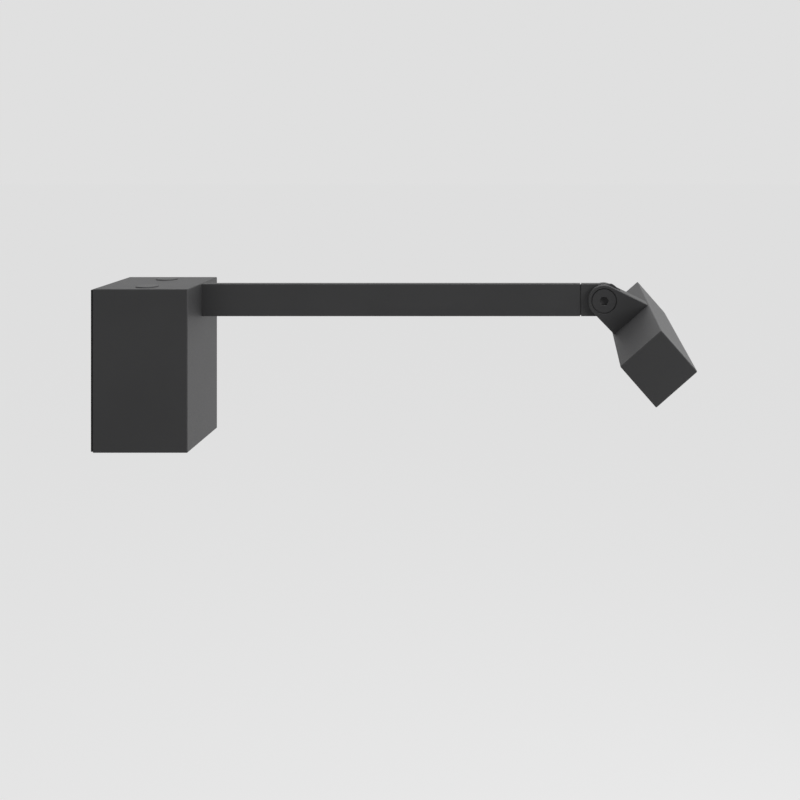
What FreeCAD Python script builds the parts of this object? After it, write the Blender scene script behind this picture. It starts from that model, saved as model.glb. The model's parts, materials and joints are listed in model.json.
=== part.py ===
"""Wall light: a box with a downlight on the wall, a flat bar arm and a square head that tilts.

Frame, in millimetres: X out from the wall (the wall is X = 0), Y along the wall, Z up. The origin
is the centre of the wall plate's rear face. Everything is symmetric about Y = 0 except the leads,
the terminals and the pivot's screw and nut.
"""
import FreeCAD, Part
import math
import os

V = FreeCAD.Vector

# ---------------------------------------------------------------- driving dimensions
# Box
box_height = 100.0
box_width = 60.0
box_depth = 58.0
box_wall = 2.5
shadow_gap = 1.2            # between the wall and the box's rear rim
edge_bevel = 0.4            # on the outside edges of every coated piece

# Wall plate
plate_thick = 2.0
plate_clearance = 0.5       # to the box's side walls
rim_gap = 0.1               # between the plate's outer rim and the box's rear rim
rim_inset = 0.6             # of the plate's outer rim from the box's sides
flange_reach = 11.5         # how far the flanges come out from the wall
tab_length = 11.0           # of the two lower flanges
slot_spacing = 60.0         # between the two fixing slots, up and down
slot_length = 12.0
slot_width = 4.5
entry_radius = 8.0          # cable entry hole in the plate
cable_radius = 4.0          # bore of the grommet
grommet_length = 6.0
grommet_flange = (2.0, 1.5) # how far it covers the plate, and its thickness
grommet_wall = 1.2          # round the bore at the nose
peg_size = (3.0, 8.0, 4.0)  # locating pegs under the box's top wall, X, Y, Z
peg_inset = 12.5            # from the inside of the box's side wall to a peg's middle
peg_clearance = 0.3

# Screws: shank radius, head radius, head height
m25 = (1.25, 2.0, 1.4)
m3 = (1.5, 2.75, 1.8)
thread_clearance = 0.05     # round a shank in its tapped hole
hole_clearance = 0.2        # round a shank in a plain hole
screw_bite = 3.0            # how deep a small screw goes into its boss or tapped plate
tip_gap = 0.5               # left under a screw's tip, or its overlength
boss_height = 3.0           # bosses inside the box's front wall
boss_radius = 3.5

# Downlight in the underside
bezel_thick = 3.0
bezel_recess = 0.5          # above the box's lower rim
fit_gap = 0.2               # round loose-fitting plates
mouth_margin = 4.5          # from the mouth to the inside of the nearest wall
mouth_flare = 1.0
lens_lip = 1.2              # of the lens over the mouth's edge
lens_thick = 2.0
lens_seat_depth = 1.6
reflector_height = 21.0
reflector_wall = 1.0
reflector_bow = 2.0         # bulge of its side at half height
chip_radius = 5.5
chip_height = 1.2
board_radius = 15.0
board_thick = 1.6
board_screw_inset = 3.4     # of its screws from its edge
sink_side_gap = 8.5         # from the heat sink to the inside of the side walls
sink_base = 4.0
sink_flange = (3.0, 14.0)   # thickness and height of the flange on the box's front wall
sink_screw_inset = 5.0      # of the flange's screws from its ends
sink_screw_rise = 8.0       # of the flange's screws from its foot
fin_height = 11.0
fin_setback = 8.0           # of the fins from the front wall's bosses
fin_thick = 1.6
fin_count = 7
front_screw_inset = 4.0     # bezel's front screws, from the inside corner
front_boss_height = 12.0
front_screw_length = 9.0
rear_screw_x = 7.0
rear_screw_inset = 7.0      # from the inside of the box's side wall

# Driver and terminals
driver_depth = 20.0
driver_ear = 8.0
driver_ear_thick = 2.0
driver_ear_height = 10.0
driver_side_gap = 1.5       # from the ears to the inside of the side walls
driver_gap = 3.4            # to the heat sink below and the arm's bracket above
driver_round = 1.5
terminal_size = (12.0, 12.0, 32.0)
terminal_inset = 9.5        # of its middle from the inside of the side wall
terminal_floor = 3.0        # under the heads of its fixing screws
pole_count = 3
pole_pitch = 7.2
pole_radius = 2.2
wire_radius = 1.6           # of the wire entries through the block
lead_radius = 0.9

# Push buttons in the top
button_radius = 6.8
button_gap = 0.2
button_inset = 9.5          # of a button's axis from the inside of the side wall
button_bevel = 0.4
button_rise = 0.6           # cap above the box's top face
button_travel = 1.2
retainer_radius = 8.2
retainer_thick = 1.0
stem_radius = 2.5
plunger_radius = 1.6
switch_size = (12.0, 12.0, 7.5)
carrier_thick = 2.0
carrier_wall = 1.6
carrier_screw_reach = 10.5
carrier_half_length = 13.5

# Arm
arm_length = 240.0
arm_height = 20.6
arm_drop = 0.3              # of the arm's top edge below the box's top
arm_thick = 5.0
arm_bore_width = 2.2
spigot_reach = 16.0
spigot_gap = 0.05
seam_gap = 0.6              # width of the groove where the knuckle meets the profile
seam_depth = 0.7
root_plate = (4.0, 26.0, 19.0)
root_screw_y = 9.0
root_screw_drop = 6.0       # of the root's screws below the arm's middle
neck_width = 8.0            # of the root's neck through the front wall's bosses

# Pivot
pivot_reach = 15.0          # from the seam to the pivot's axis
pivot_screw = (4.0, 8.0)    # shank and head radius
socket_flats = 5.0
socket_depth = 3.0
running_clearance = 0.05
bush_wall = 0.8
lead_offset = 6.6           # of the lead from the arm's centre line
washer_thick = 0.4
washer_radius = 9.4
tongue_radius = 11.4        # of the knuckle's end, which keeps its flat top and underside
nut_radius = 5.6
nut_flange = (7.0, 1.2)     # radius and thickness

# Fork and head
head_tilt = 41.2            # degrees: how far the head's upper face leans at rest
fork_width = 15.0
fork_slot = 6.0
slot_root_radius = 12.0
bracket_radius = 10.0
bracket_reach = 20.0        # from the pivot's axis to the head's face
bracket_low = 9.0           # reach of the bracket's foot, each side of the pivot's axis
bracket_high = 19.2
bracket_screw_y = 4.2
bracket_screw_inset = 6.5   # from the foot's far end
key_span = (-5.5, 0.5)      # along the head's face
key_width = 8.0
key_depth = 1.4
head_side = 30.0
head_length = 208.0
head_offset = 4.8           # of the head's centre plane from the pivot's axis
head_wall = 2.0
cap_plate = 3.0
head_lens_thick = 3.0
head_lens_recess = 0.8
groove_depth = 0.8
groove_gap = 0.1
rail_thick = 2.0
rail_face = 13.1            # from the head's open face to the back of the board
leg_spread = 20.0
plug_length = 7.0           # of an end cap's plug inside the housing
plug_wall = 2.0
led_count = 16
led_inset = 6.75            # of the end light sources from the board's ends
led_side = 3.0
led_height = 0.8
head_board_width = 22.0
board_end_gap = 4.0         # from the board's ends to the end caps
head_screw_inset = 25.0     # of the board's end screws from the end caps
head_screw_edge = 2.0       # of the board's screws from its sides
trough_slot = 8.0           # the reflector's opening over the light sources
trough_wall = 0.8
lead_exit_y = 14.0          # where the lead comes through the rail

# ---------------------------------------------------------------- places worked out from them
box_rear = shadow_gap
box_front = shadow_gap + box_depth
box_centre_x = (box_rear + box_front) / 2
box_top = box_height / 2
box_bottom = -box_height / 2
half_width = box_width / 2
inner_front = box_front - box_wall
inner_half = half_width - box_wall
inner_top = box_top - box_wall
mount_plane = inner_front - boss_height

button_y = inner_half - button_inset
terminal_y = inner_half - terminal_inset
peg_y = inner_half - peg_inset
rear_screw_y = inner_half - rear_screw_inset
mouth_radius = min(inner_half, inner_front - box_centre_x) - mouth_margin
lens_radius = mouth_radius + lens_lip

bezel_low = box_bottom + bezel_recess
bezel_top = bezel_low + bezel_thick
lens_low = bezel_top - lens_seat_depth
lens_top = lens_low + lens_thick
board_low = lens_top + reflector_height
sink_low = board_low + board_thick
sink_width = 2 * (inner_half - sink_side_gap)
sink_rear = plate_thick + terminal_size[0] + fit_gap
sink_top = sink_low + sink_base + fin_height

arm_half = arm_height / 2
arm_z = box_top - arm_drop - arm_half
arm_bore_half = lead_offset + lead_radius + 0.2
seam_x = box_front + arm_length
pivot_x = seam_x + pivot_reach
spigot_low = arm_z - arm_bore_half + spigot_gap
spigot_high = arm_z + lead_offset - lead_radius - 1.2
bush_radius = pivot_screw[0] + running_clearance + bush_wall

root_top = inner_top - fit_gap
root_low = root_top - root_plate[2]
driver_low = sink_top + driver_gap
driver_high = root_low - driver_gap
driver_z = (driver_low + driver_high) / 2
driver_half = inner_half - driver_side_gap - driver_ear

head_left = head_offset - head_side / 2
head_right = head_offset + head_side / 2
head_top = -bracket_reach
head_bottom = head_top - head_side
head_mid = (head_top + head_bottom) / 2
tube_half = head_length / 2 - cap_plate
rail_left = head_left + rail_face
rail_back = rail_left + rail_thick
board_left = rail_left - board_thick
board_half = tube_half - board_end_gap
key_low = head_top - key_depth


# ---------------------------------------------------------------- small tools
def block(x0, x1, y0, y1, z0, z1):
    return Part.makeBox(x1 - x0, y1 - y0, z1 - z0, V(x0, y0, z0))


def rod(radius, start, end):
    along = end - start
    return Part.makeCylinder(radius, along.Length, start, along)


def ring(outer, inner, start, end):
    return rod(outer, start, end).cut(rod(inner, start, end))


def fused(*shapes):
    return shapes[0].multiFuse(list(shapes[1:])).removeSplitter()


def drilled(shape, *tools):
    return shape.cut(list(tools))


def bevelled(shape, width, wanted):
    edges = [edge for edge in shape.Edges if wanted(edge)]
    return shape.makeChamfer(width, edges)


def revolved(outline, centre_x, centre_y):
    """Turn a closed outline of edges in the X-Z plane about the vertical axis, then move it."""
    solid = Part.Face(Part.Wire(outline)).revolve(V(0, 0, 0), V(0, 0, 1), 360)
    solid.translate(V(centre_x, centre_y, 0))
    return solid


def polygon(points, y0, y1):
    """Extrude a polygon given by (x, z) points from y0 to y1."""
    corners = [V(x, y0, z) for x, z in points]
    face = Part.Face(Part.makePolygon(corners + corners[:1]))
    return face.extrude(V(0, y1 - y0, 0))


def aimed(shape, place, direction):
    """Turn a shape made along +Z to point along direction, and put its origin at place."""
    turned = shape.copy()
    turned.Placement = FreeCAD.Placement(place, FreeCAD.Rotation(V(0, 0, 1), direction))
    return turned


def hexagon(flats, depth):
    radius = flats / math.sqrt(3)
    corners = [V(radius * math.cos(math.radians(60 * i)), radius * math.sin(math.radians(60 * i)), 0)
               for i in range(7)]
    return Part.Face(Part.makePolygon(corners)).extrude(V(0, 0, -depth))


def pan_screw(size, length, place, outward):
    """A pan-head screw: the underside of its head is at place, and its head faces outward."""
    shank, head, height = size
    body = fused(rod(head, V(0, 0, 0), V(0, 0, height)), rod(shank, V(0, 0, -length), V(0, 0, 0)))
    socket = hexagon(head * 0.9, height * 0.6)
    socket.translate(V(0, 0, height))
    return aimed(body.cut(socket), place, outward)


def flat_screw(size, length, place, outward, flats, depth):
    """A countersunk screw: the flat of its head is at place and faces outward."""
    shank, head = size[0], size[1]
    cone = Part.makeCone(shank, head, head - shank, V(0, 0, shank - head))
    body = fused(cone, rod(shank, V(0, 0, -length), V(0, 0, shank - head)))
    return aimed(body.cut(hexagon(flats, depth)), place, outward)


def flat_sink(size, length, place, outward, clearance):
    """The hole that a countersunk screw lies in."""
    shank, head = size[0] + clearance, size[1] + clearance
    cone = Part.makeCone(shank, head, head - shank, V(0, 0, shank - head))
    mouth = rod(head, V(0, 0, 0), V(0, 0, 1))
    return aimed(fused(cone, mouth, rod(shank, V(0, 0, -length), V(0, 0, shank - head))), place, outward)


def lead(points, bend):
    """A round lead along straight runs that are joined by arcs of one radius."""
    edges = []
    start = points[0]
    for before, corner, after in zip(points, points[1:], points[2:]):
        back = (before - corner).normalize()
        on = (after - corner).normalize()
        half_angle = back.getAngle(on) / 2
        cut = bend / math.tan(half_angle)
        middle = (back + on).normalize()
        centre = corner + middle * (bend / math.sin(half_angle))
        first, last = corner + back * cut, corner + on * cut
        edges.append(Part.LineSegment(start, first).toShape())
        edges.append(Part.Arc(first, centre - middle * bend, last).toShape())
        start = last
    edges.append(Part.LineSegment(start, points[-1]).toShape())
    path = Part.Wire(edges)
    section = Part.Wire(Part.Circle(points[0], points[1] - points[0], lead_radius).toShape())
    return path.makePipeShell([section], True, False)


def in_head(shape):
    """Carry a piece from the head's own frame to its place.

    That frame has the pivot as its origin, X along the head's upper face and Z square to it.
    """
    turned = shape.copy()
    turned.rotate(V(0, 0, 0), V(0, -1, 0), head_tilt)
    turned.translate(V(pivot_x, 0, arm_z))
    return turned


nodes = {}


# ---------------------------------------------------------------- wall plate
def wall_plate():
    half = inner_half - plate_clearance
    rim = half_width - rim_inset
    base = block(0, shadow_gap - rim_gap, -rim, rim, box_bottom + rim_inset, box_top - rim_inset)
    plate = block(0, plate_thick, -half, half, bezel_top, inner_top)
    top = block(0, flange_reach, -half, half, inner_top - plate_thick, inner_top)
    pieces = [base, plate, top]
    for side in (-1, 1):
        outer = half - 1.0
        low, high = sorted((side * (outer - tab_length), side * outer))
        pieces.append(block(0, flange_reach, low, high, bezel_top, bezel_top + plate_thick))
    shape = fused(*pieces)
    tools = []
    for z in (-slot_spacing / 2, slot_spacing / 2):
        straight = (slot_length - slot_width) / 2
        tools.append(block(-1, plate_thick + 1, -slot_width / 2, slot_width / 2, z - straight, z + straight))
        for end in (-1, 1):
            at = z + end * straight
            tools.append(rod(slot_width / 2, V(-1, 0, at), V(plate_thick + 1, 0, at)))
    tools.append(rod(entry_radius, V(-1, 0, 0), V(plate_thick + 1, 0, 0)))
    for y, z in fixing_points():
        tools.append(rod(m3[0] + thread_clearance, V(-1, y, z), V(plate_thick + 1, y, z)))
    for side in (-1, 1):
        at = side * rear_screw_y
        tools.append(rod(m3[0] + thread_clearance, V(rear_screw_x, at, bezel_top - 1),
                         V(rear_screw_x, at, bezel_top + plate_thick + 1)))
        x0, x1, y0, y1 = peg_box(side, peg_clearance)
        tools.append(block(x0, x1, y0, y1, inner_top - plate_thick - 1, inner_top + 1))
    return drilled(shape, *tools)


def fixing_points():
    """Where the terminal block's two screws and the earth screw enter the plate, as (y, z)."""
    reach = terminal_size[2] / 2 - 3.0
    return [(terminal_y, -reach), (terminal_y, reach), (-terminal_y, 0.0)]


def peg_box(side, grow):
    x0 = rear_screw_x - peg_size[0] / 2
    y0 = side * peg_y - peg_size[1] / 2
    return x0 - grow, x0 + peg_size[0] + grow, y0 - grow, y0 + peg_size[1] + grow


def cable_grommet():
    cover, thick = grommet_flange
    step = plate_thick + thick
    neck = rod(entry_radius, V(0.2, 0, 0), V(plate_thick, 0, 0))
    flange = rod(entry_radius + cover, V(plate_thick, 0, 0), V(step, 0, 0))
    nose = Part.makeCone(entry_radius - 0.5, cable_radius + grommet_wall, grommet_length - step,
                         V(step, 0, 0), V(1, 0, 0))
    bore = rod(cable_radius, V(-1, 0, 0), V(grommet_length + 1, 0, 0))
    return fused(neck, flange, nose).cut(bore)


def terminal_block():
    depth, width, height = terminal_size
    x0 = plate_thick
    body = block(x0, x0 + depth, terminal_y - width / 2, terminal_y + width / 2,
                 -height / 2, height / 2)
    body = bevelled(body, 0.8, lambda e: e.BoundBox.XMin > x0 + 1)
    tools = []
    for z in pole_heights():
        tools.append(rod(pole_radius, V(x0 + 4, terminal_y, z), V(x0 + depth + 1, terminal_y, z)))
        tools.append(rod(wire_radius, V(x0 + 5, terminal_y - width, z), V(x0 + 5, terminal_y + width, z)))
    for y, z in fixing_points()[:2]:
        tools.append(rod(m3[0] + hole_clearance, V(x0 - 1, y, z), V(x0 + depth + 1, y, z)))
        tools.append(rod(m3[1] + hole_clearance, V(x0 + terminal_floor, y, z), V(x0 + depth + 1, y, z)))
    return drilled(body, *tools)


def pole_heights():
    return [pole_pitch * (i - (pole_count - 1) / 2) for i in range(pole_count)]


def terminal_screws():
    x0 = plate_thick
    clamps = []
    for z in pole_heights():
        stud = rod(pole_radius - hole_clearance, V(x0 + 4.0, terminal_y, z), V(x0 + 9.0, terminal_y, z))
        slot = block(x0 + 8.2, x0 + 10, terminal_y - 3, terminal_y + 3, z - 0.4, z + 0.4)
        clamps.append(stud.cut(slot))
    fixings = [pan_screw(m3, terminal_floor + plate_thick, V(x0 + terminal_floor, y, z), V(1, 0, 0))
               for y, z in fixing_points()[:2]]
    return Part.makeCompound(clamps + fixings)


def earth_screw():
    y, z = fixing_points()[2]
    at = V(plate_thick + 0.8, y, z)
    washer = ring(m3[1] + 1.2, m3[0] + hole_clearance, V(plate_thick, y, z), at)
    return Part.makeCompound([pan_screw(m3, plate_thick + 0.7, at, V(1, 0, 0)), washer])


# ---------------------------------------------------------------- box
def front_bosses():
    """Places of the bosses on the front wall, as (y, z): driver, heat sink, arm root."""
    pairs = [(driver_half + driver_ear / 2, driver_z),
             (sink_width / 2 - sink_screw_inset, sink_low + sink_screw_rise),
             (root_screw_y, arm_z - root_screw_drop)]
    return [(side * y, z) for y, z in pairs for side in (-1, 1)]


def carrier_screw_points():
    return [(box_centre_x + side * carrier_screw_reach, 0.0) for side in (-1, 1)]


def front_screw_points():
    return [(inner_front - front_screw_inset, side * (inner_half - front_screw_inset)) for side in (-1, 1)]


def housing():
    outer = block(box_rear, box_front, -half_width, half_width, box_bottom, box_top)
    outer = bevelled(outer, edge_bevel, lambda e: True)
    hollow = block(box_rear - 1, inner_front, -inner_half, inner_half, box_bottom - 1, inner_top)
    adds = []
    tools = []
    for y, z in front_bosses():
        adds.append(rod(boss_radius, V(mount_plane, y, z), V(inner_front + 0.5, y, z)))
        tools.append(rod(m3[0] + thread_clearance, V(mount_plane - 1, y, z), V(inner_front + 1, y, z)))
    corner = 2 * front_screw_inset
    for x, y in front_screw_points():
        side = 1 if y > 0 else -1
        low, high = sorted((side * (inner_half - corner), side * (inner_half + 0.5)))
        adds.append(block(inner_front - corner, inner_front + 0.5, low, high, bezel_top,
                          bezel_top + front_boss_height))
        tools.append(rod(m3[0] + thread_clearance, V(x, y, bezel_top - 1),
                         V(x, y, bezel_top + front_screw_length)))
    for x, y in carrier_screw_points():
        adds.append(rod(boss_radius, V(x, y, carrier_top()), V(x, y, inner_top + 0.5)))
        tools.append(rod(m3[0] + thread_clearance, V(x, y, carrier_top() - 1), V(x, y, inner_top + 1)))
    for side in (-1, 1):
        x0, x1, y0, y1 = peg_box(side, 0)
        adds.append(block(x0, x1, y0, y1, inner_top - peg_size[2], inner_top + 0.5))
        tools.append(rod(button_radius + button_gap, button_axis(side, inner_top - 1),
                         button_axis(side, box_top + 1)))
    tools.append(arm_bore(inner_front - 1, box_front + 1))
    return drilled(fused(outer.cut(hollow), *adds), *tools)


def button_axis(side, z):
    return V(box_centre_x, side * button_y, z)


def bezel():
    plate = block(plate_thick + fit_gap, inner_front - fit_gap, fit_gap - inner_half, inner_half - fit_gap,
                  bezel_low, bezel_top)
    centre = V(box_centre_x, 0, 0)
    low, top = V(0, 0, bezel_low - 1), V(0, 0, bezel_top + 1)
    mouth = rod(mouth_radius, centre + low, centre + top)
    seat = rod(lens_radius + fit_gap, centre + V(0, 0, lens_low), centre + top)
    flare = Part.makeCone(mouth_radius + mouth_flare, mouth_radius, mouth_flare, centre + V(0, 0, bezel_low))
    tools = [mouth, seat, flare]
    for x, y in front_screw_points() + rear_screw_points():
        tools.append(flat_sink(m3, 6, V(x, y, bezel_low), V(0, 0, -1), hole_clearance))
    return drilled(plate, *tools)


def rear_screw_points():
    return [(rear_screw_x, side * rear_screw_y) for side in (-1, 1)]


def underside_screws(points, length):
    return Part.makeCompound([flat_screw(m3, length, V(x, y, bezel_low + 0.05), V(0, 0, -1), 2.0, 1.0)
                              for x, y in points])


# ---------------------------------------------------------------- downlight
def downlight_lens():
    return rod(lens_radius, V(box_centre_x, 0, lens_low), V(box_centre_x, 0, lens_top))


def downlight_reflector():
    wide, narrow = mouth_radius - 1.0, chip_radius + 1.1
    flange_top = lens_top + reflector_wall
    bow = (wide + narrow) / 2 + reflector_bow
    middle = (lens_top + board_low) / 2
    points = [(wide, lens_top), (bow, middle), (narrow, board_low), (narrow + reflector_wall, board_low),
              (bow + reflector_wall, middle), (wide + reflector_wall, flange_top),
              (lens_radius, flange_top), (lens_radius, lens_top)]
    corners = [V(x, 0, z) for x, z in points]
    edges = [Part.LineSegment(p, q).toShape() for p, q in zip(corners, corners[1:] + corners[:1])]
    return revolved(edges, box_centre_x, 0)


def board_screw_points():
    reach = board_radius - board_screw_inset
    return [(box_centre_x, side * reach) for side in (-1, 1)]


def downlight_board():
    board = rod(board_radius, V(box_centre_x, 0, board_low), V(box_centre_x, 0, sink_low))
    holes = [rod(m25[0] + hole_clearance, V(x, y, board_low - 1), V(x, y, sink_low + 1))
             for x, y in board_screw_points()]
    return drilled(board, *holes)


def downlight_chip():
    foot = rod(chip_radius, V(box_centre_x, 0, board_low - chip_height / 2), V(box_centre_x, 0, board_low))
    dome = rod(chip_radius - 0.8, V(box_centre_x, 0, board_low - chip_height),
               V(box_centre_x, 0, board_low - chip_height / 2))
    return fused(foot, dome)


def downlight_heat_sink():
    x0 = sink_rear
    half = sink_width / 2
    thick, height = sink_flange
    base = block(x0, mount_plane, -half, half, sink_low, sink_low + sink_base)
    flange = block(mount_plane - thick, mount_plane, -half, half, sink_low, sink_low + height)
    pieces = [base, flange]
    pitch = (sink_width - fin_thick) / (fin_count - 1)
    for i in range(fin_count):
        y = -half + i * pitch
        pieces.append(block(x0, mount_plane - fin_setback, y, y + fin_thick, sink_low + sink_base, sink_top))
    tools = [rod(m25[0] + thread_clearance, V(x, y, sink_low - 1), V(x, y, sink_low + sink_base - 0.6))
             for x, y in board_screw_points()]
    for y, z in front_bosses()[2:4]:
        tools.append(rod(m3[0] + hole_clearance, V(mount_plane - thick - 1, y, z), V(mount_plane + 1, y, z)))
    return drilled(fused(*pieces), *tools)


def downlight_screws():
    into_sink = [pan_screw(m25, board_thick + screw_bite, V(x, y, board_low), V(0, 0, -1))
                 for x, y in board_screw_points()]
    thick = sink_flange[0]
    into_box = [pan_screw(m3, thick + boss_height + tip_gap, V(mount_plane - thick, y, z), V(-1, 0, 0))
                for y, z in front_bosses()[2:4]]
    return Part.makeCompound(into_sink + into_box)


# ---------------------------------------------------------------- driver
def led_driver():
    depth, half = driver_depth, driver_half
    x0 = mount_plane - depth
    case = block(x0, mount_plane, -half, half, driver_low, driver_high)
    case = bevelled(case, driver_round, lambda e: e.BoundBox.XMax < mount_plane - 1)
    seam_at = mount_plane - depth * 0.4
    seam = block(seam_at, seam_at + 0.6, -half - 5, half + 5, driver_low - 5, driver_high + 5)
    inner = block(x0, mount_plane, 0.4 - half, half - 0.4, driver_low + 0.4, driver_high - 0.4)
    case = case.cut(seam.cut(inner))
    tools = []
    ears = []
    tall = driver_ear_height / 2
    for side in (-1, 1):
        low, high = sorted((side * (half - 1), side * (half + driver_ear)))
        ears.append(block(mount_plane - driver_ear_thick, mount_plane, low, high, driver_z - tall, driver_z + tall))
    for y, z in front_bosses()[0:2]:
        tools.append(rod(m3[0] + hole_clearance, V(mount_plane - driver_ear_thick - 1, y, z),
                         V(mount_plane + 1, y, z)))
    return drilled(fused(case, *ears), *tools)


def driver_screws():
    length = driver_ear_thick + boss_height + tip_gap
    return Part.makeCompound([pan_screw(m3, length, V(mount_plane - driver_ear_thick, y, z), V(-1, 0, 0))
                              for y, z in front_bosses()[0:2]])


# ---------------------------------------------------------------- push buttons
def cap_top():
    return box_top + button_rise


def retainer_top():
    return inner_top - fit_gap


def retainer_low():
    return retainer_top() - retainer_thick


def carrier_top():
    """The stem's shoulder lands here at the end of its travel."""
    return retainer_low() - button_travel - 1.6


def carrier_low():
    return carrier_top() - carrier_thick


def push_button(side):
    cap = rod(button_radius, button_axis(side, retainer_low()), button_axis(side, cap_top()))
    cap = bevelled(cap, button_bevel, lambda e: abs(e.BoundBox.ZMin - cap_top()) < 1e-6)
    retainer = rod(retainer_radius, button_axis(side, retainer_low()), button_axis(side, retainer_top()))
    shoulder = carrier_top() + button_travel + 0.15
    collar = rod(stem_radius + 1.5, button_axis(side, shoulder), button_axis(side, retainer_low()))
    stem = rod(stem_radius, button_axis(side, carrier_low() + 0.4), button_axis(side, shoulder))
    plunger = rod(plunger_radius, button_axis(side, carrier_low() - 2.5), button_axis(side, carrier_low() + 1))
    return fused(cap, retainer, collar, stem, plunger)


def button_carrier():
    length, width, height = switch_size
    reach = button_y + width / 2 + carrier_wall
    plate = block(box_centre_x - carrier_half_length, box_centre_x + carrier_half_length, -5.5, 5.5,
                  carrier_low(), carrier_top())
    pieces = [plate]
    tools = []
    for side in (-1, 1):
        at = side * button_y
        half_x, half_y = length / 2 + carrier_wall, width / 2 + carrier_wall
        drop = carrier_low() - height
        pieces.append(block(box_centre_x - half_x, box_centre_x + half_x, at - half_y, at + half_y,
                            drop - 1.0, carrier_top()))
        tools.append(block(box_centre_x - length / 2 - 0.05, box_centre_x + length / 2 + 0.05,
                           at - width / 2 - 0.05, at + width / 2 + 0.05, drop - 0.05, carrier_low()))
        tools.append(block(box_centre_x - length / 2 + 1.0, box_centre_x + length / 2 - 1.0,
                           at - half_y - 1, at + half_y + 1, drop - 2, drop + 4))
        tools.append(rod(stem_radius + 0.1, button_axis(side, carrier_low() - 1),
                         button_axis(side, carrier_top() + 1)))
    pieces.append(block(box_centre_x - 3.0, box_centre_x + 3.0, -reach + 1, reach - 1, carrier_low(), carrier_top()))
    for x, y in carrier_screw_points():
        tools.append(rod(m3[0] + hole_clearance, V(x, y, carrier_low() - 1), V(x, y, carrier_top() + 1)))
    return drilled(fused(*pieces), *tools)


def switch_body(side):
    length, width, height = switch_size
    at = side * button_y
    body = block(box_centre_x - length / 2, box_centre_x + length / 2, at - width / 2, at + width / 2,
                 carrier_low() - height, carrier_low())
    depth = 2.5 + button_travel + 0.3
    bore = rod(stem_radius + 0.1, button_axis(side, carrier_low() - depth), button_axis(side, carrier_low() + 1))
    pins = [block(box_centre_x + x - 0.4, box_centre_x + x + 0.4, at - 0.3, at + 0.3,
                  carrier_low() - height - 3.0, carrier_low() - height + 0.5) for x in (-3.5, 3.5)]
    return fused(body.cut(bore), *pins)


def carrier_screws():
    return Part.makeCompound([pan_screw(m3, carrier_thick + 2.6, V(x, y, carrier_low()), V(0, 0, -1))
                              for x, y in carrier_screw_points()])


# ---------------------------------------------------------------- arm
def arm_bore(x0, x1):
    half = arm_bore_width / 2
    return block(x0, x1, -half, half, arm_z - arm_bore_half, arm_z + arm_bore_half)


def along_x(edge):
    return edge.BoundBox.XLength > 5 and edge.BoundBox.YLength < 1e-6 and edge.BoundBox.ZLength < 1e-6


def arm_profile():
    bar = block(box_front, seam_x, -arm_thick / 2, arm_thick / 2, arm_z - arm_half, arm_z + arm_half)
    bar = bevelled(bar, edge_bevel, along_x)
    return bar.cut(arm_bore(box_front - 1, seam_x + 1))


def spigot(x0, x1):
    half = arm_bore_width / 2 - spigot_gap
    return block(x0, x1, -half, half, spigot_low, spigot_high)


def arm_root_bracket():
    depth, width = root_plate[0], root_plate[1]
    plate = block(mount_plane - depth, mount_plane, -width / 2, width / 2, root_low, root_top)
    neck = block(mount_plane - 1, inner_front - 0.02, -neck_width / 2, neck_width / 2, spigot_low, spigot_high)
    around, z = lead_radius + 0.4, arm_z + lead_offset
    x0, x1 = mount_plane - depth - 1, mount_plane + boss_height + 1
    tools = [rod(around, V(x0, 0, z), V(x1, 0, z)), block(x0, x1, -around, around, z, root_top + 1)]
    for y, z in front_bosses()[4:6]:
        tools.append(rod(m3[0] + hole_clearance, V(mount_plane - depth - 1, y, z), V(mount_plane + 1, y, z)))
    return drilled(fused(plate, neck, spigot(mount_plane - 1, box_front + spigot_reach)), *tools)


def arm_root_screws():
    depth = root_plate[0]
    length = depth + boss_height + tip_gap
    return Part.makeCompound([pan_screw(m3, length, V(mount_plane - depth, y, z), V(-1, 0, 0))
                              for y, z in front_bosses()[4:6]])


def arm_knuckle():
    x0 = seam_x + seam_gap
    half = arm_thick / 2
    end = pivot_x + tongue_radius
    bar = block(x0, end, -half, half, arm_z - arm_half, arm_z + arm_half)
    bar = bevelled(bar, edge_bevel, along_x)
    past = block(pivot_x, end + 1, -half - 1, half + 1, arm_z - arm_height, arm_z + arm_height)
    body = bar.cut(past.cut(rod(tongue_radius, V(pivot_x, -half - 2, arm_z), V(pivot_x, half + 2, arm_z))))
    groove = block(seam_x + 0.05, x0 + 0.5, seam_depth - half, half - seam_depth,
                   arm_z - arm_half + seam_depth, arm_z + arm_half - seam_depth)
    body = fused(body, groove)
    tools = [rod(bush_radius, V(pivot_x, -half - 1, arm_z), V(pivot_x, half + 1, arm_z))]
    lead_y = lead_radius + 0.2
    lead_z0, lead_z1 = arm_z + lead_offset - lead_y, arm_z + lead_offset + lead_y
    tools.append(block(x0 - 1, pivot_x, -lead_y, lead_y, lead_z0, lead_z1))
    tools.append(lead_pocket())
    return drilled(fused(body, spigot(seam_x - spigot_reach, x0 + 1)), *tools)


def lead_pocket():
    """Open quadrant of the tongue in which the lead swings as the head tilts."""
    low_y, high_y = -lead_radius - 0.2, arm_thick
    inner = lead_offset - lead_radius - 0.15
    whole = ring(tongue_radius + 1, inner, V(pivot_x, low_y, arm_z), V(pivot_x, high_y, arm_z))
    span = 130.0
    reach = arm_half * 4
    corners = [(pivot_x, arm_z)]
    for step in range(3):
        angle = math.radians(-30.0 + span * step / 2)
        corners.append((pivot_x + reach * math.cos(angle), arm_z + reach * math.sin(angle)))
    return whole.common(polygon(corners, low_y, high_y))


# ---------------------------------------------------------------- pivot
def pivot_bush():
    half = arm_thick / 2
    return ring(bush_radius, pivot_screw[0] + running_clearance, V(pivot_x, -half, arm_z), V(pivot_x, half, arm_z))


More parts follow.
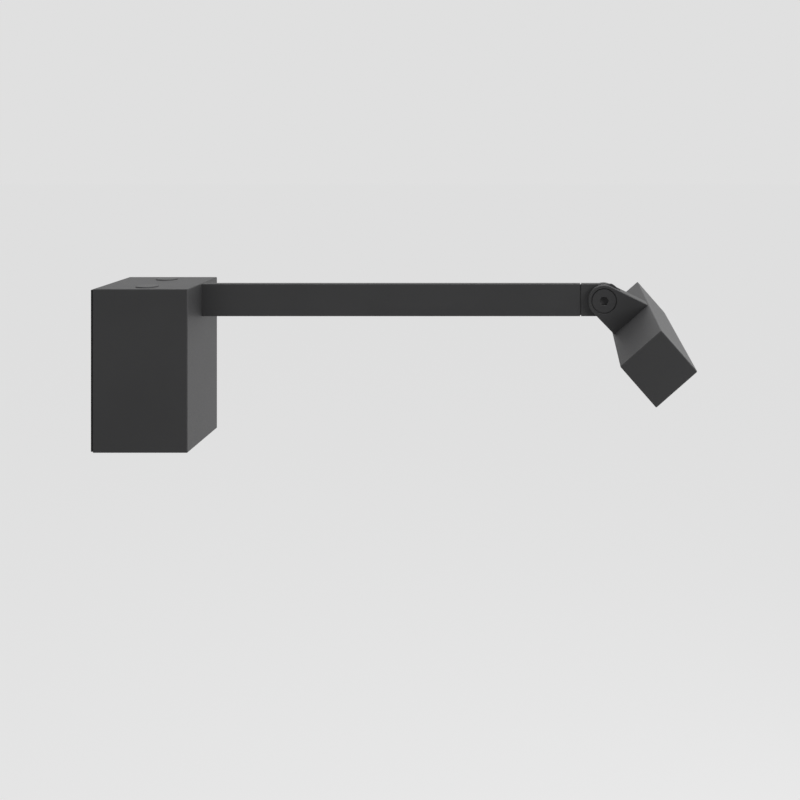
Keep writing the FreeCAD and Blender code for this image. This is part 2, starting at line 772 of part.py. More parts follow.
def friction_washers():
    outer = fork_slot / 2
    return Part.makeCompound([ring(washer_radius, pivot_screw[0] + running_clearance,
                                   V(pivot_x, side * (outer - washer_thick), arm_z), V(pivot_x, side * outer, arm_z))
                              for side in (-1, 1)])


def pivot_bolt():
    near = -fork_width / 2
    length = fork_width - 0.4
    return flat_screw(pivot_screw, length, V(pivot_x, near + 0.1, arm_z), V(0, -1, 0), socket_flats, socket_depth)


def pivot_nut():
    far, inside = fork_width / 2, fork_slot / 2 + 0.1
    body = rod(nut_radius, V(pivot_x, inside, arm_z), V(pivot_x, far, arm_z))
    flange = rod(nut_flange[0], V(pivot_x, far - nut_flange[1], arm_z), V(pivot_x, far, arm_z))
    bore = rod(pivot_screw[0] + thread_clearance, V(pivot_x, 0, arm_z), V(pivot_x, far + 1, arm_z))
    return fused(body, flange).cut(bore)


# ---------------------------------------------------------------- head bracket
def bracket_outline():
    """Round the pivot, with both sides tangent from there to the corners of the foot."""
    foot, heel = V(bracket_high, 0, head_top), V(-bracket_low, 0, head_top)
    right = math.atan2(foot.z, foot.x) + math.acos(bracket_radius / foot.Length)
    left = math.atan2(heel.z, heel.x) - math.acos(bracket_radius / heel.Length) + 2 * math.pi
    start, crown, end = [V(bracket_radius * math.cos(a), 0, bracket_radius * math.sin(a))
                         for a in (right, (left + right) / 2, left)]
    edges = [Part.Arc(start, crown, end).toShape()]
    for p, q in ((end, heel), (heel, foot), (foot, start)):
        edges.append(Part.LineSegment(p, q).toShape())
    return Part.Face(Part.Wire(edges))


def bracket_screw_points():
    return [(bracket_high - bracket_screw_inset, side * bracket_screw_y) for side in (-1, 1)]


def foot_key(grow):
    half = key_width / 2 + grow
    return block(key_span[0] - grow, key_span[1] + grow, -half, half, key_low - grow, head_top + 1)


def head_bracket():
    half = fork_width / 2
    body = bracket_outline().extrude(V(0, fork_width, 0))
    body.translate(V(0, -half, 0))
    body = bevelled(body, edge_bevel, lambda e: e.BoundBox.YLength < 1e-6 and e.BoundBox.ZMax > head_top + 1)
    body = fused(body, foot_key(0))
    slot = rod(slot_root_radius, V(0, -fork_slot / 2, 0), V(0, fork_slot / 2, 0))
    tools = [slot]
    tools.append(flat_sink(pivot_screw, half + 1, V(0, -half + 0.1, 0), V(0, -1, 0), 0.25))
    tools.append(rod(nut_radius + 0.05, V(0, 0, 0), V(0, half + 1, 0)))
    tools.append(rod(nut_flange[0] + 0.05, V(0, half - nut_flange[1] - 0.02, 0), V(0, half + 1, 0)))
    tools.append(rod(lead_radius + 0.4, V(lead_offset, 0, head_top - 1), V(lead_offset, 0, 0)))
    for x, y in bracket_screw_points():
        tools.append(rod(m3[0] + thread_clearance, V(x, y, head_top - 1), V(x, y, head_top + 6.5)))
    return drilled(body, *tools)


def bracket_screws():
    return Part.makeCompound([pan_screw(m3, head_wall + 6.0, V(x, y, head_top - head_wall), V(0, 0, -1))
                              for x, y in bracket_screw_points()])


# ---------------------------------------------------------------- head
def head_square(y0, y1):
    solid = block(head_left, head_right, y0, y1, head_bottom, head_top)
    return bevelled(solid, edge_bevel, lambda e: e.BoundBox.YLength > cap_plate / 2)


def lens_groove():
    return head_left + head_lens_recess, head_left + head_lens_recess + head_lens_thick


def head_housing():
    body = head_square(-tube_half, tube_half)
    low, high = head_bottom + head_wall, head_top - head_wall
    reach = tube_half + 1
    tools = [block(head_left - 1, head_right - head_wall, -reach, reach, low, high)]
    for x0, x1 in (lens_groove(), (rail_left, rail_back)):
        tools.append(block(x0 - groove_gap, x1 + groove_gap, -reach, reach, low - groove_depth, high + groove_depth))
    tools.append(foot_key(0.1))
    tools.append(rod(lead_radius + 0.4, V(lead_offset, 0, head_top - head_wall - 1), V(lead_offset, 0, head_top + 1)))
    for x, y in bracket_screw_points():
        tools.append(rod(m3[0] + hole_clearance, V(x, y, head_top - head_wall - 1), V(x, y, head_top + 1)))
    return drilled(body, *tools)


def end_cap(side):
    y0, y1 = sorted((side * tube_half, side * head_length / 2))
    plate = head_square(y0, y1)
    plate = bevelled(plate, edge_bevel,
                     lambda e: abs(abs(e.BoundBox.YMin) - head_length / 2) < 1e-6 and e.BoundBox.YLength < 1e-6)
    gap = leg_spread / 2 - rail_thick / 2 - groove_gap
    p0, p1 = sorted((side * (tube_half - plug_length), side * (tube_half + 1)))
    low, high = rail_back + groove_gap, head_right - head_wall - groove_gap
    plug = block(low, high, p0, p1, head_mid - gap, head_mid + gap)
    hollow = block(low + plug_wall, high - plug_wall, p0 - 1, p1 + 1, head_mid - gap + plug_wall,
                   head_mid + gap - plug_wall)
    return fused(plate, plug.cut(hollow))


def head_lens():
    x0, x1 = lens_groove()
    reach = tube_half - 0.2
    low = head_bottom + head_wall - groove_depth + groove_gap
    high = head_top - head_wall + groove_depth - groove_gap
    return block(x0, x1, -reach, reach, low, high)


def head_rail():
    """Folded carrier: its web lies in grooves behind the board, and its legs reach the housing's back."""
    reach = tube_half - 0.5
    low = head_bottom + head_wall - groove_depth + groove_gap
    high = head_top - head_wall + groove_depth - groove_gap
    web = block(rail_left, rail_back, -reach, reach, low, high)
    legs = []
    for side in (-1, 1):
        z = head_mid + side * leg_spread / 2
        legs.append(block(rail_left + 1, head_right - head_wall, -reach, reach, z - rail_thick / 2,
                          z + rail_thick / 2))
    around = lead_radius + 0.6
    slot = block(rail_left - 1, rail_back + 1, lead_exit_y - around, lead_exit_y + around,
                 head_mid - around, head_mid + around)
    notch = block(rail_back, lead_offset + around, lead_exit_y - around, lead_exit_y + around, head_mid, high)
    tools = [slot, notch]
    for y, z in head_screw_points():
        tools.append(rod(m25[0] + thread_clearance, V(rail_left - 1, y, z), V(rail_back + 1, y, z)))
    return drilled(fused(web, *legs), *tools)


def head_screw_points():
    """Two at each end of the board and one in the middle, as (y, z)."""
    reach = tube_half - head_screw_inset
    edge = head_board_width / 2 - head_screw_edge
    ends = [(y, head_mid + side * edge) for y in (-reach, reach) for side in (-1, 1)]
    return ends + [(0.0, head_mid - edge)]


def head_board():
    half = head_board_width / 2
    board = block(board_left, rail_left, -board_half, board_half, head_mid - half, head_mid + half)
    tools = [rod(m25[0] + hole_clearance, V(board_left - 1, y, z), V(rail_left + 1, y, z))
             for y, z in head_screw_points()]
    return drilled(board, *tools)


def head_leds():
    reach = board_half - led_inset
    pitch = 2 * reach / (led_count - 1)
    half = led_side / 2
    chips = []
    for i in range(led_count):
        y = i * pitch - reach
        chips.append(block(board_left - led_height, board_left, y - half, y + half, head_mid - half, head_mid + half))
    return Part.makeCompound(chips)


def head_screws():
    return Part.makeCompound([pan_screw(m25, board_thick + rail_thick - 0.1, V(board_left, y, z), V(-1, 0, 0))
                              for y, z in head_screw_points()])


def head_reflector():
    x0 = lens_groove()[1]
    wide = head_side / 2 - head_wall - 0.8
    narrow = trough_slot / 2 + trough_wall
    outer = [(x0, head_mid - wide), (board_left, head_mid - narrow), (board_left, head_mid + narrow),
             (x0, head_mid + wide)]
    inner = [(x0 - 1, head_mid - wide + trough_wall * 0.6), (board_left + 1, head_mid - trough_slot / 2 + 0.7),
             (board_left + 1, head_mid + trough_slot / 2 - 0.7), (x0 - 1, head_mid + wide - trough_wall * 0.6)]
    reach = tube_half - 2
    return polygon(outer, -reach, reach).cut(polygon(inner, trough_wall - reach, reach - trough_wall))


# ---------------------------------------------------------------- leads
def arm_lead():
    """From the driver up through the arm's bore to the tongue's pocket."""
    z = arm_z + lead_offset
    bend = 4.0
    x = mount_plane - root_plate[0] - bend - fit_gap
    return lead([V(x, 0, driver_high), V(x, 0, z), V(pivot_x, 0, z)], bend)


def pivot_lead():
    """Round the bush as far as the bracket's bore, drawn at the rest tilt."""
    stop = math.radians(head_tilt)
    half = (stop + math.pi / 2) / 2
    at = [V(lead_offset * math.cos(a), 0, lead_offset * math.sin(a)) for a in (math.pi / 2, half, stop)]
    arc = Part.Arc(*[p + V(pivot_x, 0, arm_z) for p in at]).toShape()
    run = math.sqrt(slot_root_radius ** 2 - lead_offset ** 2) - 0.3
    down = V(math.sin(stop), 0, -math.cos(stop))
    end = at[2] + V(pivot_x, 0, arm_z)
    path = Part.Wire([arc, Part.LineSegment(end, end + down * run).toShape()])
    section = Part.Wire(Part.Circle(V(pivot_x, 0, arm_z + lead_offset), V(1, 0, 0), lead_radius).toShape())
    return path.makePipeShell([section], True, False)


def head_lead():
    """From the slot's root through the bracket and behind the rail to the board."""
    start = -math.sqrt(slot_root_radius ** 2 - lead_offset ** 2)
    deep = head_top - head_wall - lead_radius - 0.1
    return lead([V(lead_offset, 0, start), V(lead_offset, 0, deep), V(lead_offset, lead_exit_y, deep),
                 V(lead_offset, lead_exit_y, head_mid), V(rail_left, lead_exit_y, head_mid)], 1.9)


def build():
    nodes["wall_plate"] = wall_plate()
    nodes["cable_grommet"] = cable_grommet()
    nodes["terminal_block"] = terminal_block()
    nodes["terminal_screws"] = terminal_screws()
    nodes["earth_screw"] = earth_screw()
    nodes["housing"] = housing()
    nodes["bezel"] = bezel()
    nodes["housing_screws"] = underside_screws(rear_screw_points(), bezel_thick + plate_thick)
    nodes["bezel_screws"] = underside_screws(front_screw_points(), bezel_thick + front_screw_length - screw_bite)
    nodes["downlight_lens"] = downlight_lens()
    nodes["downlight_reflector"] = downlight_reflector()
    nodes["downlight_board"] = downlight_board()
    nodes["downlight_chip"] = downlight_chip()
    nodes["downlight_heat_sink"] = downlight_heat_sink()
    nodes["downlight_screws"] = downlight_screws()
    nodes["led_driver"] = led_driver()
    nodes["driver_screws"] = driver_screws()
    nodes["button_carrier"] = button_carrier()
    nodes["carrier_screws"] = carrier_screws()
    for side, use in ((-1, "downlight"), (1, "spot")):
        nodes["button_" + use] = push_button(side)
        nodes["switch_" + use] = switch_body(side)
    nodes["arm_root_bracket"] = arm_root_bracket()
    nodes["arm_root_screws"] = arm_root_screws()
    nodes["arm_profile"] = arm_profile()
    nodes["arm_knuckle"] = arm_knuckle()
    nodes["arm_lead"] = arm_lead()
    nodes["pivot_bush"] = pivot_bush()
    nodes["friction_washers"] = friction_washers()
    nodes["pivot_screw"] = pivot_bolt()
    nodes["pivot_nut"] = pivot_nut()
    nodes["pivot_lead"] = pivot_lead()
    in_head_frame = {
        "head_bracket": head_bracket(), "bracket_screws": bracket_screws(), "head_housing": head_housing(),
        "end_cap_near": end_cap(-1), "end_cap_far": end_cap(1), "head_lens": head_lens(),
        "head_reflector": head_reflector(), "head_board": head_board(), "head_leds": head_leds(),
        "head_screws": head_screws(), "head_rail": head_rail(), "head_lead": head_lead()}
    for name, shape in in_head_frame.items():
        nodes[name] = in_head(shape)


def save():
    os.makedirs("parts", exist_ok=True)
    for name, shape in nodes.items():
        shape.exportStep("parts/" + name + ".step")
        print(name, len(shape.Solids), shape.isValid(), round(shape.Volume, 1))


build()
save()
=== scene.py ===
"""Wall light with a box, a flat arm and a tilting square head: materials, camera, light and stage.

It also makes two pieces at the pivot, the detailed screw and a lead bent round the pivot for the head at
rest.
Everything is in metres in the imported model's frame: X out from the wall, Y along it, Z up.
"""
import json
import math

import bmesh
import bpy
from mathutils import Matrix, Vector


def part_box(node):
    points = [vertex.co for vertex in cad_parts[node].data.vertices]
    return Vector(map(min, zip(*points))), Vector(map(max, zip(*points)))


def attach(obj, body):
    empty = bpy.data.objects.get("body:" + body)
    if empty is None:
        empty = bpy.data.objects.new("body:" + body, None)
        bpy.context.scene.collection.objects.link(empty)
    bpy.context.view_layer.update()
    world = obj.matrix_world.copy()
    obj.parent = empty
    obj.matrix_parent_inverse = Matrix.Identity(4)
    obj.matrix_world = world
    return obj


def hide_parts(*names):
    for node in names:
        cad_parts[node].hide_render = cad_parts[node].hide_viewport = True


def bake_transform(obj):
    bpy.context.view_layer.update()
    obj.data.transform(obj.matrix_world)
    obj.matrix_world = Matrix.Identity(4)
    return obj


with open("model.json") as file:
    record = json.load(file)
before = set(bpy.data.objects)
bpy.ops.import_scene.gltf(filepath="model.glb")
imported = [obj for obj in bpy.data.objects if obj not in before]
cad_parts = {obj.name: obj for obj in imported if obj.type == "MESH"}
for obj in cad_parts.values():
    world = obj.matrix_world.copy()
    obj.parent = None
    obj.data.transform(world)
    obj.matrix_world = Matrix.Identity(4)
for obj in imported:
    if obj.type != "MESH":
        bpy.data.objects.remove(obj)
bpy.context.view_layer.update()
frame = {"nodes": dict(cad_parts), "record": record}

# ---------------------------------------------------------------- the photograph's camera
# The photograph is a one-point view along Y. Its vanishing point isn't in the middle, so the lens is
# shifted.
FRAME_PIXELS = 800
FOCAL_PIXELS = 1154.0
VANISHING_X, VANISHING_Y = 565.0, 134.0
SENSOR_MM = 36.0
CAMERA_FROM_WALL = 0.2896
CAMERA_FROM_BOX_SIDE = 0.7043
CAMERA_ABOVE_BOX = 0.0947

box_low, box_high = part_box("housing")


def make_camera():
    data = bpy.data.cameras.new("photo_camera")
    data.sensor_width = SENSOR_MM
    data.lens = FOCAL_PIXELS / FRAME_PIXELS * SENSOR_MM
    data.shift_x = (FRAME_PIXELS / 2 - VANISHING_X) / FRAME_PIXELS
    data.shift_y = (VANISHING_Y - FRAME_PIXELS / 2) / FRAME_PIXELS
    camera = bpy.data.objects.new("photo_camera", data)
    bpy.context.scene.collection.objects.link(camera)
    camera.location = (CAMERA_FROM_WALL, box_low[1] - CAMERA_FROM_BOX_SIDE, box_high[2] + CAMERA_ABOVE_BOX)
    camera.rotation_euler = (math.pi / 2, 0, 0)
    bpy.context.scene.camera = camera


# ---------------------------------------------------------------- material tools
NOISE_SPAN = (0.3, 0.7)         # noise values that give the low and the high number of a range
TINT_SPAN = (0.35, 0.65)        # noise values that give the dark and the light colour of a pair


def new_material(name):
    material = bpy.data.materials.new(name)
    material.use_nodes = True
    tree = material.node_tree
    return material, tree, tree.nodes["Principled BSDF"]


def add(tree, kind, **values):
    """A new node; each value goes to the socket of that name, or else to the node's own setting."""
    node = tree.nodes.new(kind)
    for key, value in values.items():
        socket = key.replace("_", " ")
        if socket in node.inputs:
            node.inputs[socket].default_value = value
        else:
            setattr(node, key, value)
    return node


def object_noise(tree, scale, detail=2.0, roughness=0.5, stretch=(1, 1, 1)):
    """Noise in the object's own metres, as a value from 0 to 1; scale is in features per metre."""
    place = add(tree, "ShaderNodeTexCoord")
    spread = add(tree, "ShaderNodeMapping")
    spread.inputs["Scale"].default_value = stretch
    noise = add(tree, "ShaderNodeTexNoise", Scale=scale, Detail=detail, Roughness=roughness)
    tree.links.new(place.outputs["Object"], spread.inputs["Vector"])
    tree.links.new(spread.outputs["Vector"], noise.inputs["Vector"])
    return noise.outputs["Fac"]


def between(tree, source, low, high):
    """Spread a noise's values between two numbers."""
    spread = add(tree, "ShaderNodeMapRange")
    spread.inputs["From Min"].default_value, spread.inputs["From Max"].default_value = NOISE_SPAN
    spread.inputs["To Min"].default_value = low
    spread.inputs["To Max"].default_value = high
    tree.links.new(source, spread.inputs["Value"])
    return spread.outputs["Result"]


def tinted(tree, source, dark, light):
    """Spread a noise's values between two colours."""
    ramp = add(tree, "ShaderNodeValToRGB")
    for stop, position, colour in zip(ramp.color_ramp.elements, TINT_SPAN, (dark, light)):
        stop.position = position
        stop.color = (*colour, 1)
    tree.links.new(source, ramp.inputs["Fac"])
    return ramp.outputs["Color"]


def bumped(tree, shader, source, depth):
    bump = add(tree, "ShaderNodeBump", Distance=depth)
    tree.links.new(source, bump.inputs["Height"])
    tree.links.new(bump.outputs["Normal"], shader.inputs["Normal"])


def shade(colour, factor):
    return tuple(min(1.0, c * factor) for c in colour)


def textured(tree, shader, fine, broad, colour, tints, roughness, gloss_spread, depth):
    """Broad noise varies the colour between its tints, and fine noise the roughness and the bump."""
    dark, light = (shade(colour, factor) for factor in tints)
    tree.links.new(tinted(tree, broad, dark, light), shader.inputs["Base Color"])
    tree.links.new(between(tree, fine, roughness - gloss_spread, roughness + gloss_spread),
                   shader.inputs["Roughness"])
    bumped(tree, shader, fine, depth)


# ---------------------------------------------------------------- materials
COAT = (0.047, 0.047, 0.048)
# painted shade: near black for the wall plate, so that its rim shows as the shadow in the gap between box and
# wall
GAP_SHADE_BLACK = (0.011, 0.011, 0.011)
OPAL_TINTS = ((0.86, 0.855, 0.83), (0.9, 0.895, 0.875))
OPAL_GLOSS = (0.36, 0.48)
OPAL_DEPTH = (0.004, 0.0037, 0.003)
WARM_GLOW = (1.0, 0.86, 0.68, 1)
LIT_STRENGTH = 1.2
PHOSPHOR_TINTS = ((0.86, 0.66, 0.2), (0.92, 0.76, 0.3))


def powder_coat(name, colour=COAT, roughness=0.50, specular=0.3):
    """Matt powder coat with a fine orange-peel grain."""
    grain, blotches = 0.00045, 22.0
    material, tree, shader = new_material(name)
    fine = object_noise(tree, 1 / grain, roughness=0.55)
    broad = object_noise(tree, blotches)
    shader.inputs["Specular IOR Level"].default_value = specular
    textured(tree, shader, fine, broad, colour, tints=(0.95, 1.05),
             roughness=roughness, gloss_spread=0.06, depth=0.000022)
    return material


def metal(name, colour, roughness, stretch=(1, 1, 1), marks=900.0):
    """Bare metal, whose marks run the way that stretch says."""
    blotches = 120.0
    material, tree, shader = new_material(name)
    shader.inputs["Metallic"].default_value = 1.0
    fine = object_noise(tree, marks, detail=4.0, roughness=0.6, stretch=stretch)
    broad = object_noise(tree, blotches, detail=3.0)
    textured(tree, shader, fine, broad, colour, tints=(0.9, 1.06),
             roughness=roughness, gloss_spread=0.08, depth=0.000006)
    return material


def plastic(name, colour, roughness, grain=0.0006, depth=0.00001):
    """Moulded plastic or rubber with a fine grain."""
    blotches = 60.0
    material, tree, shader = new_material(name)
    fine = object_noise(tree, 1 / grain)
    broad = object_noise(tree, blotches)
    textured(tree, shader, fine, broad, colour, tints=(0.95, 1.04),
             roughness=roughness, gloss_spread=0.05, depth=depth)
    return material


def opal(name, glow):
    """Etched opal cover, lit from behind when glow is over 0."""
    material, tree, shader = new_material(name)
    cloud = object_noise(tree, scale=140.0)
    etch = object_noise(tree, scale=3500.0)
    tree.links.new(tinted(tree, cloud, *OPAL_TINTS), shader.inputs["Base Color"])
    tree.links.new(between(tree, etch, *OPAL_GLOSS), shader.inputs["Roughness"])
    shader.inputs["Subsurface Weight"].default_value = 0.4
    shader.inputs["Subsurface Radius"].default_value = OPAL_DEPTH
    shader.inputs["Emission Color"].default_value = WARM_GLOW
    shader.inputs["Emission Strength"].default_value = glow
    bumped(tree, shader, etch, depth=0.00001)
    return material


def phosphor(name):
    """The yellow, slightly glossy face of a light source."""
    material, tree, shader = new_material(name)
    grain = object_noise(tree, scale=5000.0)
    tree.links.new(tinted(tree, grain, *PHOSPHOR_TINTS), shader.inputs["Base Color"])
    shader.inputs["Roughness"].default_value = 0.25
    shader.inputs["Coat Weight"].default_value = 0.6
    bumped(tree, shader, grain, depth=0.000008)
    return material


def make_materials():
    return {
        "dark_coat": powder_coat("dark_coat"),
        "button_coat": powder_coat("button_coat", roughness=0.46),
        "zinc_steel": metal("zinc_steel", (0.6, 0.61, 0.63), roughness=0.38),
        "bright_aluminium": metal("bright_aluminium", (0.86, 0.86, 0.87), roughness=0.16, stretch=(1, 1, 8)),
        "plain_aluminium": metal("plain_aluminium", (0.66, 0.66, 0.67), roughness=0.34,
                                 stretch=(1, 12, 12), marks=250.0),
        "black_rubber": plastic("black_rubber", (0.028, 0.028, 0.029), roughness=0.72,
                                grain=0.0009, depth=0.00002),
        "white_plastic": plastic("white_plastic", (0.78, 0.78, 0.76), roughness=0.45),
        "black_plastic": plastic("black_plastic", (0.035, 0.035, 0.037), roughness=0.5),
        "brass": metal("brass", (0.78, 0.58, 0.28), roughness=0.28),
        "opal_glass": opal("opal_glass", glow=0.0),
        "white_board": plastic("white_board", (0.84, 0.84, 0.83), roughness=0.35,
                               grain=0.0004, depth=0.000006),
        "light_source": phosphor("light_source"),
        "lead_sheath": plastic("lead_sheath", (0.05, 0.05, 0.053), roughness=0.42),
    }


def dress(node, material):
    node.data.materials.clear()
    node.data.materials.append(material)


def dress_nodes():
    """Every node gets its slot's material; the lit lens gets its own, and the wall plate a near-black coat,
    painted shade that makes its rim read as the shadow in the gap to the wall.
    """
    materials = make_materials()
    slots = {row["node"]: row["material_slot"] for row in frame["record"]["subparts"]}
    for name, node in frame["nodes"].items():
        dress(node, materials[slots[name]])
    # painted shade: the plate's near-black coat stands in for the shadow in the gap to the wall
    dress(frame["nodes"]["wall_plate"], powder_coat("plate_gap_shade", GAP_SHADE_BLACK, roughness=0.7, specular=0.15))
    dress(frame["nodes"]["downlight_lens"], opal("opal_glass_lit", LIT_STRENGTH))
    return materials


# ---------------------------------------------------------------- meshes made of rings
def join_rings(shape, rings):
    """Quads between each ring of points and the next."""
    for before, after in zip(rings, rings[1:]):
        for i in range(len(before)):
            j = (i + 1) % len(before)
            shape.faces.new((before[i], before[j], after[j], after[i]))


def new_piece(name, shape, material):
    """Turn the finished shape into a piece of the scene."""
    bmesh.ops.recalc_face_normals(shape, faces=shape.faces)
    mesh = bpy.data.meshes.new(name)
    shape.to_mesh(mesh)
    shape.free()
    mesh.materials.append(material)
    piece = bpy.data.objects.new(name, mesh)
    bpy.context.scene.collection.objects.link(piece)
    return piece


# ---------------------------------------------------------------- the pivot's screw, in detail
SCREW_SLOT = "dark_coat"
SCREW_HEAD_RADIUS = 0.00755     # leaves a fine ring of shadow in the bracket's countersink
SCREW_RIM_BEVEL = 0.00025
SCREW_RIM_LAND = 0.0002         # straight part of the rim behind its bevel
SCREW_NECK_EASE = 0.0005        # added to the cone's depth, where it runs into the shank
SCREW_SHANK_RADIUS = 0.0039
SCREW_TIP_BEVEL = 0.0006
THREAD_START = 0.0095           # from the head's face
THREAD_END_GAP = 0.0004         # least plain length before the tip
THREAD_PITCH = 0.00125
THREAD_DEPTH = 0.00045
SOCKET_HALF_FLATS = 0.0025
SOCKET_BEVEL = 0.00018
SOCKET_DEPTH = 0.0028
SOCKET_CONE_DEPTH = 0.0007      # of the drill's cone in the socket's floor
SCREW_SIDES = 96
SHARP_EDGE = math.radians(28)


def hexagon(half_flats):
    """A function that gives the hexagon's reach at an angle."""
    sixth = math.pi / 3

    def reach(angle):
        return half_flats / math.cos(angle % sixth - sixth / 2)
    return reach


def screw_ring(radius, depth, centre_x, face_y, centre_z):
    """Points round the screw's axis; radius is a number or a function of the angle."""
    points = []
    for i in range(SCREW_SIDES):
        angle = 2 * math.pi * i / SCREW_SIDES
        reach = radius(angle) if callable(radius) else radius
        points.append((centre_x + reach * math.cos(angle),
                       face_y + depth,
                       centre_z + reach * math.sin(angle)))
    return points


def screw_profile(length):
    """(radius, depth) from the socket's floor out over the head and down the threaded shank."""
    rows = [(hexagon(SOCKET_HALF_FLATS), SOCKET_DEPTH),
            (hexagon(SOCKET_HALF_FLATS), SOCKET_BEVEL),
            (hexagon(SOCKET_HALF_FLATS + SOCKET_BEVEL), 0.0),
            (SCREW_HEAD_RADIUS - SCREW_RIM_BEVEL, 0.0),
            (SCREW_HEAD_RADIUS, SCREW_RIM_BEVEL),
            (SCREW_HEAD_RADIUS, SCREW_RIM_BEVEL + SCREW_RIM_LAND),
            (SCREW_SHANK_RADIUS, SCREW_HEAD_RADIUS - SCREW_SHANK_RADIUS + SCREW_NECK_EASE)]
    depth = THREAD_START
    while depth + THREAD_PITCH < length - THREAD_END_GAP:
        rows.append((SCREW_SHANK_RADIUS, depth))
        rows.append((SCREW_SHANK_RADIUS - THREAD_DEPTH, depth + THREAD_PITCH / 2))
        depth += THREAD_PITCH
    rows.append((SCREW_SHANK_RADIUS, depth))
    rows.append((SCREW_SHANK_RADIUS - SCREW_TIP_BEVEL, length))
    return rows


def make_pivot_screw(material):
    low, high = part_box("pivot_screw")
    centre_x, face_y, centre_z = (low[0] + high[0]) / 2, low[1], (low[2] + high[2]) / 2
    shape = bmesh.new()
    rings = []
    for radius, depth in screw_profile(high[1] - low[1]):
        points = screw_ring(radius, depth, centre_x, face_y, centre_z)
        rings.append([shape.verts.new(point) for point in points])
    join_rings(shape, rings)
    cone_tip = shape.verts.new((centre_x, face_y + SOCKET_DEPTH + SOCKET_CONE_DEPTH, centre_z))
    for i in range(SCREW_SIDES):
        shape.faces.new((rings[0][(i + 1) % SCREW_SIDES], rings[0][i], cone_tip))
    shape.faces.new(rings[-1])
    screw = new_piece("pivot_screw_detailed", shape, material)
    screw.data.polygons.foreach_set("use_smooth", [True] * len(screw.data.polygons))
    screw.data.set_sharp_from_angle(angle=SHARP_EDGE)
    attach(screw, "head")
    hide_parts("pivot_screw")


# ---------------------------------------------------------------- the lead that bends through the pivot
LEAD_SLOT = "lead_sheath"
LEAD_OFFSET = 0.0066            # of the lead from the pivot's axis
LEAD_RADIUS = 0.0009
REST_LEAN = math.radians(41.2)  # of the head at rest
SLOT_ROOT_RADIUS = 0.012        # where the lead enters the bracket's bore
LEAD_END_GAP = 0.0003
LEAD_SIDES = 20
ARC_STEPS = 20
RUN_STEPS = 6


def pivot_lead_line(pivot):
    """(place, outward direction) of each ring: round the bush, then straight to the bracket's bore."""
    line = []
    for i in range(ARC_STEPS + 1):
        angle = math.pi / 2 + (REST_LEAN - math.pi / 2) * i / ARC_STEPS
        outward = Vector((math.cos(angle), 0, math.sin(angle)))
        line.append((pivot + LEAD_OFFSET * outward, outward))
    turned, outward = line[-1]
    onward = Vector((math.sin(REST_LEAN), 0, -math.cos(REST_LEAN)))
    run = math.sqrt(SLOT_ROOT_RADIUS ** 2 - LEAD_OFFSET ** 2) - LEAD_END_GAP
    return line + [(turned + onward * run * i / RUN_STEPS, outward) for i in range(1, RUN_STEPS + 1)]


def lead_ring(place, outward):
    across = Vector((0, 1, 0))
    turns = [2 * math.pi * i / LEAD_SIDES for i in range(LEAD_SIDES)]
    return [place + LEAD_RADIUS * (math.cos(turn) * outward + math.sin(turn) * across) for turn in turns]


def make_pivot_lead(material):
    """Shaped for the head at rest: round the pivot's bush, then straight to the bracket's bore, on the open
    side of the tongue's pocket.

    It is one fixed piece, and doesn't bend or follow the head.
    """
    screw_low, screw_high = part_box("pivot_screw")
    lead_low, lead_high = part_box("pivot_lead")
    line = pivot_lead_line(Vector(((screw_low[0] + screw_high[0]) / 2, (lead_low[1] + lead_high[1]) / 2,
                                   (screw_low[2] + screw_high[2]) / 2)))
    shape = bmesh.new()
    rings = [[shape.verts.new(point) for point in lead_ring(place, outward)] for place, outward in line]
    join_rings(shape, rings)
    shape.faces.new(rings[0])
    shape.faces.new(rings[-1])
    lead = new_piece("pivot_lead_bending", shape, material)
    on_side = [len(face.vertices) == 4 for face in lead.data.polygons]
    lead.data.polygons.foreach_set("use_smooth", on_side)
    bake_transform(lead)
    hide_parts("pivot_lead")


# ---------------------------------------------------------------- stage and light
WHITE = (1, 1, 1, 1)
BACKGROUND = 0.745              # what the camera sees behind the light
WORLD_COLOUR = (0.95, 0.95, 0.96, 1)
WORLD_LIGHT = 0.25
FLOOR_DROP = 1.2
FLOOR_REACH = 30.0
FLOOR_GLOW = 0.92
FLOOR_SHADOW = 0.25             # share of the floor's look that takes shadows
FLOOR_COLOUR = (0.8, 0.8, 0.8, 1)
FLOOR_ROUGHNESS = 0.9
LIGHT_TARGET = (0.2, 0.0, 0.0)
LIGHTS = (                      # name, place, size in metres, watts
    ("overhead", (0.35, 0.1, 1.7), 1.8, 25.0),
    ("right_window", (1.9, 0.5, -0.1), 1.4, 25.0),
    ("front_key", (1.55, -1.25, 0.6), 0.7, 10.0),
)


def pale_where_seen(tree, plain, pale, output):
    """Camera, mirror and see-through rays meet the pale shader, and all other light the plain one."""
    paths = add(tree, "ShaderNodeLightPath")
    seen = paths.outputs["Is Camera Ray"]
    for name in ("Is Glossy Ray", "Is Transmission Ray"):
        either = add(tree, "ShaderNodeMath", operation="MAXIMUM")
        tree.links.new(seen, either.inputs[0])
        tree.links.new(paths.outputs[name], either.inputs[1])
        seen = either.outputs[0]
    mix = add(tree, "ShaderNodeMixShader")
    tree.links.new(seen, mix.inputs["Fac"])
    tree.links.new(plain, mix.inputs[1])
    tree.links.new(pale, mix.inputs[2])
    tree.links.new(mix.outputs[0], output)


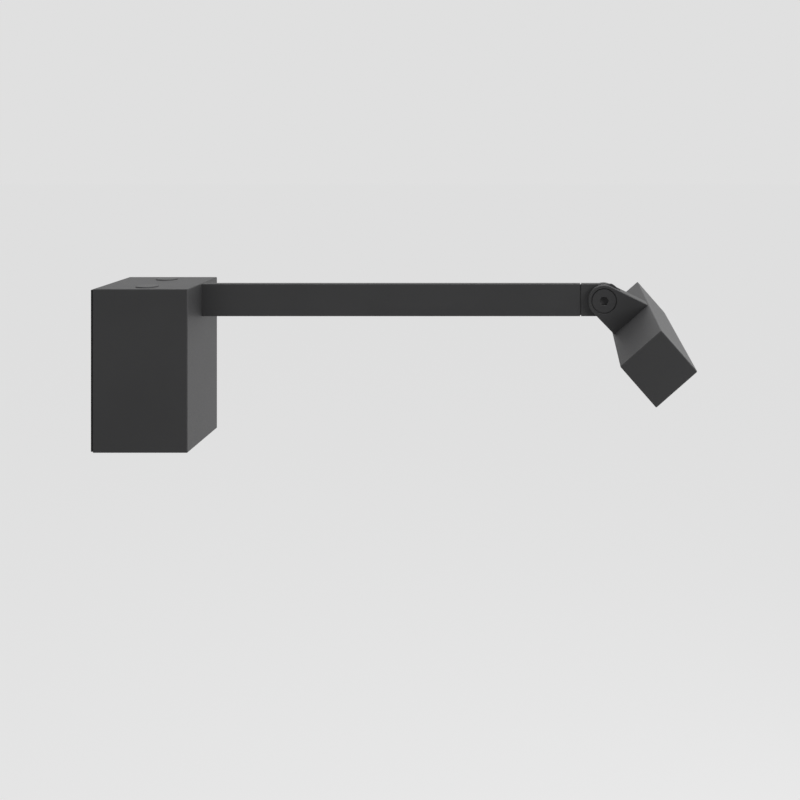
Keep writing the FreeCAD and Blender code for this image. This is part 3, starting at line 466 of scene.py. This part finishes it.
def make_world():
    world = bpy.data.worlds.new("studio")
    bpy.context.scene.world = world
    world.use_nodes = True
    tree = world.node_tree
    plain = tree.nodes["Background"]
    plain.inputs["Color"].default_value = WORLD_COLOUR
    plain.inputs["Strength"].default_value = WORLD_LIGHT
    pale = add(tree, "ShaderNodeBackground", Color=WHITE, Strength=BACKGROUND)
    pale_where_seen(tree, plain.outputs[0], pale.outputs[0], tree.nodes["World Output"].inputs["Surface"])


def make_lights():
    for name, place, size, watts in LIGHTS:
        data = bpy.data.lights.new(name, "AREA")
        data.shape = "SQUARE"
        data.size = size
        data.energy = watts
        light = bpy.data.objects.new(name, data)
        bpy.context.scene.collection.objects.link(light)
        light.location = place
        light.rotation_euler = (Vector(LIGHT_TARGET) - Vector(place)).to_track_quat("-Z", "Y").to_euler()


def make_floor():
    """A wide pale floor far below the light, about as bright as the background."""
    mesh = bpy.data.meshes.new("floor")
    sides = ((-1, -1), (1, -1), (1, 1), (-1, 1))
    corners = [(x * FLOOR_REACH, y * FLOOR_REACH, -FLOOR_DROP) for x, y in sides]
    mesh.from_pydata(corners, [], [(0, 1, 2, 3)])
    floor = bpy.data.objects.new("floor", mesh)
    bpy.context.scene.collection.objects.link(floor)
    material, tree, shader = new_material("pale_floor")
    shader.inputs["Base Color"].default_value = FLOOR_COLOUR
    shader.inputs["Roughness"].default_value = FLOOR_ROUGHNESS
    shader.inputs["Specular IOR Level"].default_value = 0.0
    glow = add(tree, "ShaderNodeEmission", Color=WHITE, Strength=FLOOR_GLOW)
    pale = add(tree, "ShaderNodeMixShader", Fac=FLOOR_SHADOW)
    tree.links.new(glow.outputs[0], pale.inputs[1])
    tree.links.new(shader.outputs[0], pale.inputs[2])
    pale_where_seen(tree, shader.outputs[0], pale.outputs[0], tree.nodes["Material Output"].inputs["Surface"])
    mesh.materials.append(material)


make_camera()
coats = dress_nodes()
make_pivot_screw(coats[SCREW_SLOT])
make_pivot_lead(coats[LEAD_SLOT])
make_world()
make_lights()
make_floor()

bpy.context.scene.view_settings.view_transform = "Standard"
